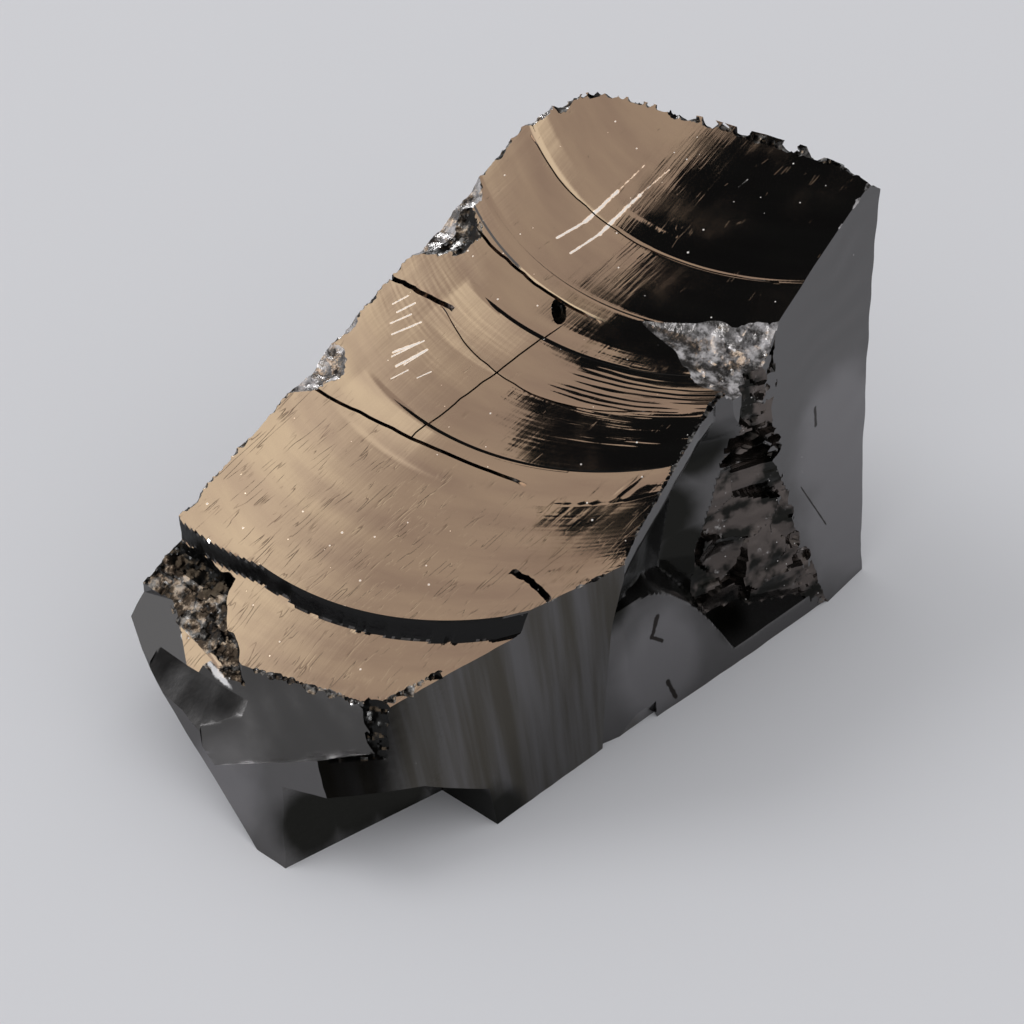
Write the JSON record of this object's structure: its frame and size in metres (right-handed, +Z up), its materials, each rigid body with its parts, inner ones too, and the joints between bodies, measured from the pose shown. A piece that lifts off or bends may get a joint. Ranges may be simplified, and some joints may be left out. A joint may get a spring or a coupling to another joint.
{
  "type": "raw shungite stone",
  "caption": "Rough block of black glassy shungite, lower at one end, with a polished-looking rippled break on top and a small foot under the low end.",
  "frame": {"origin": "on the ground, under the middle of the stone's bounding box", "axes": "+X along the stone's length, towards its high end; +Z up; the smooth wall and the scoop face -Y"},
  "size_m": [0.1038, 0.0588, 0.0582],
  "materials": {
    "shungite": "glassy black break with a near-metallic lustre"
  },
  "bodies": {
    "root": {"stone": "shungite"}
  },
  "joints": []
}
